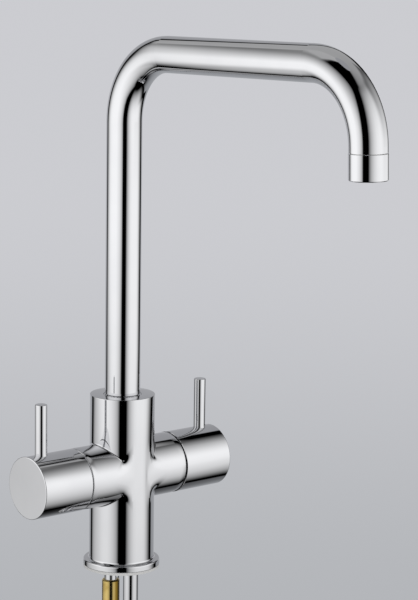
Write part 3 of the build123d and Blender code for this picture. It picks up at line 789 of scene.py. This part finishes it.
class Shell:
    """Points, faces and a normal for each corner of each face."""

    def __init__(self):
        self.points = []
        self.faces = []
        self.normals = []
        self.known = {}

    def point(self, place):
        """The number of the point at a place, which is made if it is new."""
        key = tuple(round(float(value), WELD_DIGITS) + 0.0 for value in place)
        if key not in self.known:
            self.known[key] = len(self.points)
            self.points.append(tuple(float(value) for value in place))
        return self.known[key]

    def face(self, places, normals):
        """Adds one face, turned so that it looks along its normals."""
        corners = []
        for place, normal in zip(places, normals):
            number = self.point(place)
            if number not in [known for known, _ in corners]:
                corners.append((number, Vector(normal)))
        if len(corners) < 3:
            return
        ring = [Vector(self.points[number]) for number, _ in corners]
        area = Vector()
        for i in range(1, len(ring) - 1):
            area += (ring[i] - ring[0]).cross(ring[i + 1] - ring[0])
        if area.length < FLATTEST:
            return
        if area.dot(sum((normal for _, normal in corners), Vector())) < 0:
            corners.reverse()
        self.faces.append([number for number, _ in corners])
        self.normals += [normal for _, normal in corners]

    def sheet(self, places, normals, skip=(), crease=False):
        """Adds a grid of faces, but for those to skip.

        A crease cuts each face into two triangles, along the diagonal that points at the middle.
        """
        middle = (len(places) - 1) / 2
        for row in range(len(places) - 1):
            for column in range(len(places[row]) - 1):
                if (row, column) in skip:
                    continue
                square = [(row + up, column + over) for up, over in SQUARE]
                halves = [square]
                if crease:
                    if (row - middle) * (column - middle) <= 0:
                        square = square[1:] + square[:1]
                    halves = [square[:3], [square[0], square[2], square[3]]]
                for corners in halves:
                    self.face(
                        [places[r][c] for r, c in corners],
                        [normals[r][c] for r, c in corners],
                    )

    def piece(self, name, slot, body):
        """Makes the mesh, and gives it its finish and the body that it rides on."""
        mesh = bpy.data.meshes.new(name)
        mesh.from_pydata(self.points, [], self.faces)
        mesh.shade_smooth()
        mesh.normals_split_custom_set(self.normals)
        mesh.materials.append(finishes[slot])
        made = bpy.data.objects.new(name, mesh)
        bpy.context.scene.collection.objects.link(made)
        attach(made, body)
        print(f"{name}: {len(self.points)} points, {len(self.faces)} faces")
        return made


print("shells can be made")

# %% [markdown]
# ## Turned surfaces
#
# Most of this tap is lathe work, and a lathe piece is a profile spun round an axis.  The helper
# below adds such a surface to a shell, from a profile of (along, radius) points.  Where two
# stretches of the profile meet at a gentle angle their normals are averaged, and the corner looks
# round.  Where they meet sharply each keeps its own, and the corner looks sharp.

# %% Spin a profile
ROUND_STEPS = 192
GENTLE = math.cos(math.radians(35))


def whole_turn(steps):
    """Angles of a ring's points, from its lowest or leftmost place round to the same place."""
    return [math.pi * (2 * step / steps - 0.5) for step in range(steps + 1)]


def upright(x=0.0):
    """A ring round an upright axis, as a function of height, radius and angle."""
    return lambda along, radius, turn: (
        x + radius * math.sin(turn), -radius * math.cos(turn), along,
    )


def level(height):
    """A ring round the arms' axis, as a function of x, radius and angle."""
    return lambda along, radius, turn: (
        along, -radius * math.cos(turn), height + radius * math.sin(turn),
    )


def profile_normals(profile):
    """For each stretch of a profile, the (along, outward) normals at its two ends."""
    flat = []
    for (along, radius), (next_along, next_radius) in zip(profile, profile[1:]):
        length = math.hypot(next_along - along, next_radius - radius)
        flat.append(((radius - next_radius) / length, (next_along - along) / length))
    ends = []
    for i, normal in enumerate(flat):
        before, after = flat[max(i - 1, 0)], flat[min(i + 1, len(flat) - 1)]
        pair = []
        for neighbour in (before, after):
            gentle = normal[0] * neighbour[0] + normal[1] * neighbour[1] > GENTLE
            mixed = (normal[0] + neighbour[0], normal[1] + neighbour[1]) if gentle else normal
            size = math.hypot(*mixed)
            pair.append((mixed[0] / size, mixed[1] / size))
        ends.append(pair)
    return ends


def spin(shell, profile, ring, steps=ROUND_STEPS):
    """Adds a turned surface.  Its profile runs up the outside, in over the top and down inside."""
    turns = whole_turn(steps)
    middle = Vector(ring(0.0, 0.0, 0.0))
    for *stretch, ends in zip(profile, profile[1:], profile_normals(profile)):
        places = [[ring(*point, turn) for turn in turns] for point in stretch]
        normals = [[Vector(ring(*normal, turn)) - middle for turn in turns] for normal in ends]
        shell.sheet(places, normals)


def quarter_turn(steps):
    """Angles from one side of a corner to the other."""
    return [math.pi / 2 * step / steps for step in range(steps + 1)]


def rounded(along, radius, size, steps=4):
    """Profile points of a small quarter round from a cylinder's side to its flat end."""
    return [
        (along + size * (math.sin(turn) - 1), radius + size * (math.cos(turn) - 1))
        for turn in quarter_turn(steps)
    ]


print(f"turned surfaces have {ROUND_STEPS} sides")

# %% [markdown]
# ## The cross body
#
# The body is one casting: an upright cylinder with an arm to each side.  Where two cylinders of
# nearly the same size cross, the corner between them is square on top and below, and opens until
# the two skins run side by side in front and behind.  A buffing wheel can't reach into the
# corner on top, so a fine line stays there, but in front it takes the line away and the chrome
# flows from the body into the arm.
#
# A bevel or a subdivided mesh gives the same rounding all along, which shows at once in the
# reflections.  So the skin is described as a distance instead: how far is a place from the body,
# how far from the arms, and what would a ball do that rolls along the corner, touching both?
# The ball is small on top and large in front.  A grid is then laid over the body and each point
# is moved along the slope of that distance until it lies on the skin.

# %% Measures of the body
SEAM_GAP = 0.5 * MM
CORNER_TIGHT = 1.0 * MM  # radius of the rolling ball on top of the arms
CORNER_WIDE = 30.0 * MM  # and in front of the body
CORNER_OPENS = 0.82  # the ball starts to grow at this share of the arm's radius from its axis
CORNER_POWER = 1.3
ALMOST_ALONG = 0.99999  # the largest cosine between two skins that counts as a corner
DUBBED_LENGTH = 5.0 * MM  # the arms' ends are rounded over by the buffing wheel
DUBBED_DEPTH = 0.45 * MM
ARM_RIM = 1.0 * MM
COLLAR_RIM = 0.4 * MM
COVE = 1.6 * MM  # the hollow round the body's foot, where it meets the foot ring
SLOPE_STEP = 1e-6  # metres
PROJECTIONS = 10

body_low, body_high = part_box("tap_body")
barrel_low, barrel_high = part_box("left_barrel")
body_radius = (body_high.y - body_low.y) / 2
arm_radius = (barrel_high.z - barrel_low.z) / 2
arm_height = (barrel_high.z + barrel_low.z) / 2
arm_end = -barrel_high.x - SEAM_GAP
base_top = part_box("base_ring")[1].z
print(f"body {2 * body_radius / MM:.1f} mm and arms {2 * arm_radius / MM:.1f} mm across")


# %% The distance to the skin
def above_skin(places):
    """How far each place is outside the skin of the body and its arms."""
    x, y, z = places[..., 0], places[..., 1], places[..., 2] - arm_height
    from_body_axis = np.hypot(x, y)
    from_arm_axis = np.hypot(y, z)
    over_body = from_body_axis - body_radius
    near_end = np.clip((np.abs(x) - arm_end) / DUBBED_LENGTH + 1, 0, 1)
    over_arm = from_arm_axis - arm_radius + DUBBED_DEPTH * near_end ** 2
    opening = np.clip((np.abs(y) / arm_radius - CORNER_OPENS) / (1 - CORNER_OPENS), 0, 1)
    ball = CORNER_TIGHT + (CORNER_WIDE - CORNER_TIGHT) * opening ** CORNER_POWER
    # the cosine between the two skins' normals, and how far the ball's centre is off each skin
    cosine = np.minimum(y * y / (from_body_axis * from_arm_axis), ALMOST_ALONG)
    to_body = ball - over_body
    to_arm = ball - over_arm
    in_corner = (to_body > to_arm * cosine) & (to_arm > to_body * cosine)
    square = (to_body ** 2 + to_arm ** 2 - 2 * to_body * to_arm * cosine) / (1 - cosine ** 2)
    from_ball = ball - np.sqrt(np.maximum(square, 0))
    return np.where(in_corner, from_ball, np.minimum(over_body, over_arm))


def skin_normals(places):
    """The slope of that distance, which is the skin's normal."""
    slopes = []
    for axis in range(3):
        step = np.zeros(3)
        step[axis] = SLOPE_STEP
        slopes.append(above_skin(places + step) - above_skin(places - step))
    slope = np.stack(slopes, axis=-1)
    return slope / np.linalg.norm(slope, axis=-1, keepdims=True)


def onto_skin(places):
    """Moves places along the slope until they lie on the skin."""
    places = np.array(places, float)
    for _ in range(PROJECTIONS):
        places = places - above_skin(places)[..., None] * skin_normals(places)
    return places


def add_skin(shell, places, skip=(), crease=False):
    """Lays a grid on the skin and adds it to a shell."""
    places = onto_skin(places)
    shell.sheet(places, skin_normals(places), skip, crease)
    return places


probe = np.array([[0.0, -body_radius, arm_height], [body_radius, 0.0, arm_height + arm_radius]])
print("above the skin in front and in the corner:", np.round(above_skin(probe) / MM, 3), "mm")

# %% [markdown]
# ### The grid
#
# The grid has six parts: a square in front and one behind, each a quarter turn of body by a
# quarter turn of arm either way, and four sleeves that run from their edges up the collar, down
# to the foot and out along the two arms.  The squares' points are spaced evenly round both
# cylinders, so that the corner line runs along their diagonals, and the sleeves' rings fit their
# edges point for point.


# %% Front and back squares
def square_place(facing_sign, rise, swing):
    """A place on whichever cylinder stands out further, at an angle round each of them."""
    depth = max(body_radius * math.cos(swing), arm_radius * math.cos(rise))
    height = arm_height + arm_radius * math.sin(rise)
    return (body_radius * math.sin(swing), facing_sign * depth, height)


turns = whole_turn(ROUND_STEPS)[:ROUND_STEPS // 2 + 1]
body = Shell()
for sign in (-1, 1):
    square = [[square_place(sign, rise, swing) for swing in turns] for rise in turns]
    add_skin(body, square, crease=True)
print(f"two squares: {len(body.faces)} faces")

# %% Sleeves along the arms and down to the foot
NEAR_CORNER = [gap * MM for gap in (0.0, 0.5, 1.0, 1.6, 2.4, 3.5)]  # from the squares' edges
NEAR_END = [gap * MM for gap in (5.0, 4.3, 3.6, 3.0, 2.4, 1.9, 1.5, 1.2)]  # from the arms' ends

round_body = upright()
round_arm = level(arm_height)


def sleeve(ring, radius, stations):
    """A grid of points round a cylinder, with one ring at each station."""
    return [[ring(along, radius, turn) for turn in whole_turn(ROUND_STEPS)] for along in stations]


reaches = [body_radius + gap for gap in NEAR_CORNER]
reaches += [arm_end - gap for gap in NEAR_END + [ARM_RIM]]
for sign in (-1, 1):
    add_skin(body, sleeve(round_arm, arm_radius, [sign * reach for reach in reaches]))
heights = [arm_height - arm_radius - gap for gap in NEAR_CORNER] + [base_top + COVE]
add_skin(body, sleeve(round_body, body_radius, heights))
print(f"with three sleeves: {len(body.faces)} faces")

# %% [markdown]
# ### The collar and its screw hole
#
# The fourth sleeve, up the collar, has a hole at the back for the small screw that keeps the
# spout in.  A few faces are left out of the grid, and rings of points lead from the edge of that
# window to the round rim of the hole and down its wall.

# %% The collar, with a window for the screw
HOLE_HALF = 5  # half the window, in steps of the grid
HOLE_RADIUS = 2.5 * MM
HOLE_BEVEL = 0.15 * MM
HOLE_FLOOR = 13.6 * MM
HOLE_SHARES = (0.0, 0.4, 0.75, 1.0)  # of the way from the window's edge to the hole's rim

screw_low, screw_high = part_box("retaining_screw")
hole_height = (screw_low.z + screw_high.z) / 2
hole_step = 2 * math.pi * body_radius / ROUND_STEPS
hole_column = ROUND_STEPS * 3 // 4
window = range(-HOLE_HALF, HOLE_HALF + 1)
heights = [arm_height + arm_radius + gap for gap in NEAR_CORNER]
hole_row = len(heights) + HOLE_HALF
heights += [hole_height + step * hole_step for step in window] + [body_high.z - COLLAR_RIM]
skip = {(hole_row + i, hole_column + j) for i in window[:-1] for j in window[:-1]}
collar = add_skin(body, sleeve(round_body, body_radius, heights), skip)
print(f"with the collar: {len(body.faces)} faces")


# %% The rings round the hole, and the hole itself
def on_collar(x, z, sunk=0.0):
    """A place at the back of the collar, or sunk below it."""
    return (x, math.sqrt(body_radius ** 2 - x * x) - sunk, z)


edge = [(-HOLE_HALF, j) for j in window] + [(i, HOLE_HALF) for i in window[1:]]
edge += [(-i, -j) for i, j in edge[1:]]
rings, ring_normals = [], []
for share in HOLE_SHARES:
    ring, normals = [], []
    for i, j in edge:
        start = collar[hole_row + i][hole_column + j]
        x, _, z = start
        turn = math.atan2(z - hole_height, x)
        rim_x = (HOLE_RADIUS + HOLE_BEVEL) * math.cos(turn)
        rim_z = hole_height + (HOLE_RADIUS + HOLE_BEVEL) * math.sin(turn)
        place = on_collar(x + share * (rim_x - x), z + share * (rim_z - z))
        ring.append(place if share else tuple(start))
        normals.append(Vector((place[0], place[1], 0)) / body_radius)
    rings.append(ring)
    ring_normals.append(normals)
body.sheet(rings, ring_normals)

around = [math.atan2(z - hole_height, x) for x, _, z in rings[-1]]
lip = []
for turn in around:
    x, z = HOLE_RADIUS * math.cos(turn), hole_height + HOLE_RADIUS * math.sin(turn)
    lip.append(on_collar(x, z, sunk=HOLE_BEVEL))
inward = [Vector((-math.cos(turn), 0, -math.sin(turn))) for turn in around]
sloped = [(normal + Vector((0, 1, 0))) / math.sqrt(2) for normal in inward]
floor_ring = [(x, HOLE_FLOOR, z) for x, _, z in lip]
middle = [(0, HOLE_FLOOR, hole_height)] * len(lip)
backward = [Vector((0, 1, 0))] * len(lip)
body.sheet([rings[-1], lip], [sloped, sloped])
body.sheet([lip, floor_ring], [inward, inward])
body.sheet([floor_ring, middle], [backward, backward])
print(f"with the hole: {len(body.faces)} faces")

# %% [markdown]
# ### Ends and sockets
#
# What is left is lathe work: the rounded rim of the collar and the socket that the spout stands
# in, the arms' flat ends with the spigots that carry the handles, and the hollow foot.  Where the
# body meets the foot ring it runs out in a small cove, which mirrors as a fine dark line.

# %% Close the body
SOCKET_RADIUS = 12.78 * MM
SOCKET_FLOOR = 92.0 * MM
SOCKET_BEVEL = 0.25 * MM
SPIGOT_RADIUS = 17.6 * MM
VALVE_BORE = 10.4 * MM
VALVE_SEAT = 14.0 * MM
FOOT_RADIUS = 19.0 * MM
SKIRT_RADIUS = 16.5 * MM
SKIRT_FLOOR = 14.0 * MM
RIM_STEPS, COVE_STEPS = 10, 12

collar_profile = rounded(body_high.z, body_radius, COLLAR_RIM) + [
    (body_high.z, SOCKET_RADIUS + SOCKET_BEVEL),
    (body_high.z - SOCKET_BEVEL, SOCKET_RADIUS),
    (SOCKET_FLOOR, SOCKET_RADIUS),
    (SOCKET_FLOOR, 0),
]
rim_radius = arm_radius - DUBBED_DEPTH * (1 - ARM_RIM / DUBBED_LENGTH) ** 2
arm_profile = rounded(arm_end, rim_radius, ARM_RIM, RIM_STEPS) + [
    (arm_end, SPIGOT_RADIUS),
    (body_high.x, SPIGOT_RADIUS),
    (body_high.x, VALVE_BORE),
    (VALVE_SEAT, VALVE_BORE),
    (VALVE_SEAT, 0),
]
foot_profile = [
    (SKIRT_FLOOR, 0),
    (SKIRT_FLOOR, SKIRT_RADIUS),
    (body_low.z, SKIRT_RADIUS),
    (body_low.z, FOOT_RADIUS),
    (base_top, FOOT_RADIUS),
] + [
    (base_top + COVE * (1 - math.cos(turn)), body_radius + COVE * (1 - math.sin(turn)))
    for turn in quarter_turn(COVE_STEPS)
]
spin(body, collar_profile, round_body)
spin(body, foot_profile, round_body)
spin(body, arm_profile, round_arm)
spin(body, [(-along, radius) for along, radius in reversed(arm_profile)], round_arm)
cross_body = body.piece("cross_body", "polished_chrome", "root")
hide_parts("tap_body")

# %% [markdown]
# ## The fixing post and its thread
#
# The solid post has plain grooves where the thread is.  A real thread is one groove that winds
# down the post, and from close by the difference shows.  Its grid is sheared: each row goes once
# round and sinks by one pitch on the way, so it ends where a later row starts, and the rows
# follow the thread's crests and roots exactly.
#
# The post hangs from the body on a thinner neck.  The neck is silver and the post is brass, so
# each is a shell of its own.

# %% Measures of the post
POST_BEVEL = 0.8 * MM
POST_TOP = -8.0 * MM
NECK_RADIUS = 3.95 * MM
THREAD_TOP = -24.0 * MM
THREAD_RADIUS = 4.95 * MM
THREAD_DEPTH = 0.62 * MM
THREAD_PITCH = 1.5 * MM
THREAD_SIDES = 72
ROWS_PER_PITCH = 10
FLANK_STEEPNESS = 1.25
TIP_LENGTH = 2.0 * MM
TIP_BEVEL = 0.5 * MM
TIP_GAP = 0.01 * MM  # keeps the tip's skin just inside the thread's

post_low, post_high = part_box("fixing_post")
post_radius = (post_high.y - post_low.y) / 2
post_x = (post_high.x + post_low.x) / 2
post_axis = upright(x=post_x)
root_radius = THREAD_RADIUS - THREAD_DEPTH
thread_foot = post_low.z + TIP_LENGTH
winding_rows = int((THREAD_TOP + THREAD_PITCH - thread_foot) / THREAD_PITCH * ROWS_PER_PITCH)
print(f"{winding_rows / ROWS_PER_PITCH:.0f} turns of thread")

# %% The smooth part and the thread
post = Shell()
spin(post, [
    (THREAD_TOP, 0),
    (THREAD_TOP, post_radius - POST_BEVEL),
    (THREAD_TOP + POST_BEVEL, post_radius),
    (POST_TOP - POST_BEVEL, post_radius),
    (POST_TOP, post_radius - POST_BEVEL),
    (POST_TOP, 0),
], post_axis, THREAD_SIDES)


def thread_place(row, column):
    """A point of the thread: the radius follows the row, and the height winds down."""
    phase = row / ROWS_PER_PITCH % 1
    sinking = THREAD_PITCH * (row / ROWS_PER_PITCH + column / THREAD_SIDES)
    along = THREAD_TOP + THREAD_PITCH - sinking
    groove = min(1.0, FLANK_STEEPNESS * (1 - abs(2 * phase - 1)))
    full = min(1.0, max(0.0, (along - thread_foot) / THREAD_PITCH))
    radius = root_radius + THREAD_DEPTH * (1 - groove) * full
    return post_axis(along, radius, 2 * math.pi * column / THREAD_SIDES)


winding = [
    [thread_place(row, column) for column in range(THREAD_SIDES + 1)]
    for row in range(winding_rows + 1)
]
grid = np.array(winding)
slope_down = np.gradient(grid, axis=0)
slope_round = np.gradient(grid, axis=1)
thread_normals = np.cross(slope_down, slope_round)
thread_normals /= np.linalg.norm(thread_normals, axis=-1, keepdims=True)
radial = grid - np.array([post_x, 0, 0])
radial[..., 2] = 0
thread_normals *= np.sign((thread_normals * radial).sum(-1, keepdims=True))
post.sheet(winding, thread_normals)
print(f"smooth part and thread: {len(post.faces)} faces")

# %% The thread's ends, the tip and the neck
# Each end of the winding is closed by a fan from its rim: one row, and the pitch that it leaves.
top_rim = winding[0] + [row[0] for row in reversed(winding[:ROWS_PER_PITCH])]
foot_rim = winding[-1] + [row[-1] for row in reversed(winding[-ROWS_PER_PITCH - 1:-1])]
for rim, direction in ((top_rim, 1), (foot_rim, -1)):
    hub = (post_x, 0, sum(place[2] for place in rim) / len(rim))
    outward = [Vector((0, 0, direction))] * len(rim)
    post.sheet([rim, [hub] * len(rim)], [outward, outward])
spin(post, [
    (post_low.z, 0),
    (post_low.z, root_radius - TIP_BEVEL),
    (post_low.z + TIP_BEVEL, root_radius - TIP_GAP),
    (thread_foot + THREAD_PITCH / 2, root_radius - TIP_GAP),
    (thread_foot + THREAD_PITCH / 2, 0),
], post_axis, THREAD_SIDES)
threaded_post = post.piece("threaded_post", "bare_brass", "root")
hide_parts("fixing_post")

neck = Shell()
spin(neck, [
    (POST_TOP, 0),
    (POST_TOP, NECK_RADIUS),
    (SKIRT_FLOOR + POST_BEVEL, NECK_RADIUS),
    (SKIRT_FLOOR + POST_BEVEL, 0),
], post_axis, THREAD_SIDES)
post_neck = neck.piece("post_neck", "tail_chrome", "root")
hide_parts("fixing_post")

for hanging in (threaded_post, post_neck):
    hanging.visible_glossy = False
print("the post hangs on its neck")

# %% [markdown]
# ## Measure and finish
#
# The looks must not change the size.  The box round everything that shows is measured again and
# printed beside the box of the solid pieces.

# %% Print the two boxes
seen_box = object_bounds()
for name, (low, high) in (("solid", cad_box), ("shown", seen_box)):
    print(name, [round(side / MM, 2) for side in high - low], "mm")
